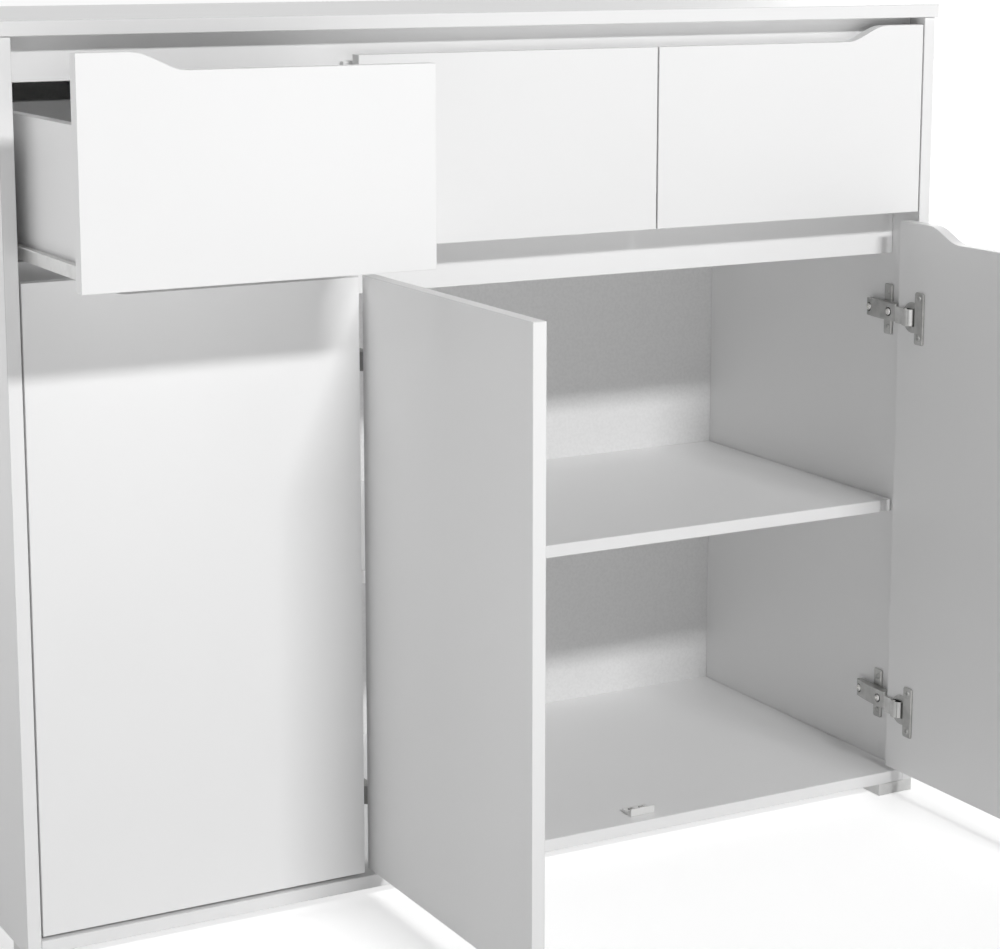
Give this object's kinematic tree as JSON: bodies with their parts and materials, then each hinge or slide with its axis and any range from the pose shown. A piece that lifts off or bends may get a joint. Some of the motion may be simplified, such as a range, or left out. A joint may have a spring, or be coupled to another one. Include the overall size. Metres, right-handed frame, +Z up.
{
  "type": "sideboard buffet",
  "caption": "White sideboard with a row of drawers over hinged doors, scooped finger edges in place of handles, shelves inside and low block feet.",
  "frame": {"origin": "on the floor, in the middle of the box around the sideboard in its stored pose, with the left drawer part way out and the middle and right doors open", "axes": "+Z up, +X to the right along the front, +Y from the front to the back"},
  "size_m": [1.146, 0.8068, 0.97],
  "materials": {
    "white_melamine": "white melamine-faced chipboard with a fine satin texture and matching edge banding",
    "white_hardboard": "white lacquered hardboard, 3 mm",
    "white_plastic": "moulded white plastic, satin",
    "runner_steel": "white epoxy-coated folded steel",
    "hinge_steel": "nickel-plated pressed steel"
  },
  "bodies": {
    "carcass": {"top_panel": "white_melamine", "side_left": "white_melamine", "side_right": "white_melamine", "bottom_panel": "white_melamine", "back_panel": "white_hardboard", "divider_full": "white_melamine", "divider_short": "white_melamine", "mid_panel": "white_melamine", "top_rail": "white_melamine", "mid_rail_left": "white_melamine", "mid_rail_right": "white_melamine", "shelf_left": "white_melamine", "shelf_right": "white_melamine", "foot_front_left": "white_plastic", "foot_front_right": "white_plastic", "foot_rear_left": "white_plastic", "foot_rear_right": "white_plastic", "door_stop": "white_plastic", "cabinet_runner_left_left": "runner_steel", "cabinet_runner_left_right": "runner_steel", "cabinet_runner_middle_left": "runner_steel", "cabinet_runner_middle_right": "runner_steel", "cabinet_runner_right_left": "runner_steel", "cabinet_runner_right_right": "runner_steel", "hinge_arm_left_lower": "hinge_steel", "hinge_arm_left_upper": "hinge_steel", "hinge_arm_middle_lower": "hinge_steel", "hinge_arm_middle_upper": "hinge_steel", "hinge_arm_right_lower": "hinge_steel", "hinge_arm_right_upper": "hinge_steel"},
    "drawer_left": {"drawer_front_left": "white_melamine", "drawer_side_left_left": "white_melamine", "drawer_side_left_right": "white_melamine", "drawer_back_left": "white_melamine", "drawer_bottom_left": "white_hardboard", "drawer_runner_left_left": "runner_steel", "drawer_runner_left_right": "runner_steel"},
    "drawer_middle": {"drawer_front_middle": "white_melamine", "drawer_side_middle_left": "white_melamine", "drawer_side_middle_right": "white_melamine", "drawer_back_middle": "white_melamine", "drawer_bottom_middle": "white_hardboard", "drawer_runner_middle_left": "runner_steel", "drawer_runner_middle_right": "runner_steel"},
    "drawer_right": {"drawer_front_right": "white_melamine", "drawer_side_right_left": "white_melamine", "drawer_side_right_right": "white_melamine", "drawer_back_right": "white_melamine", "drawer_bottom_right": "white_hardboard", "drawer_runner_right_left": "runner_steel", "drawer_runner_right_right": "runner_steel"},
    "door_left": {"door_panel_left": "white_melamine", "hinge_cup_left_lower": "hinge_steel", "hinge_cup_left_upper": "hinge_steel"},
    "door_middle": {"door_panel_middle": "white_melamine", "hinge_cup_middle_lower": "hinge_steel", "hinge_cup_middle_upper": "hinge_steel"},
    "door_right": {"door_panel_right": "white_melamine", "hinge_cup_right_lower": "hinge_steel", "hinge_cup_right_upper": "hinge_steel"}
  },
  "joints": [
    {"name": "drawer_left_slide", "type": "slide", "parent": "carcass", "child": "drawer_left", "axis": [0, -1, 0], "range_m": [-0.179, 0.101]},
    {"name": "drawer_middle_slide", "type": "slide", "parent": "carcass", "child": "drawer_middle", "axis": [0, -1, 0], "range_m": [0, 0.28]},
    {"name": "drawer_right_slide", "type": "slide", "parent": "carcass", "child": "drawer_right", "axis": [0, -1, 0], "range_m": [0, 0.28]},
    {"name": "door_left_hinge", "type": "hinge", "parent": "carcass", "child": "door_left", "pos_m": [-0.54675, -0.04233, 0.3575], "axis": [0, 0, -1], "range_deg": [0, 95]},
    {"name": "door_middle_hinge", "type": "hinge", "parent": "carcass", "child": "door_middle", "pos_m": [-0.174, -0.04428, 0.3575], "axis": [0, 0, -1], "range_deg": [-90, 5]},
    {"name": "door_right_hinge", "type": "hinge", "parent": "carcass", "child": "door_right", "pos_m": [0.54675, -0.04233, 0.3575], "axis": [0, 0, 1], "range_deg": [-90, 5]}
  ]
}
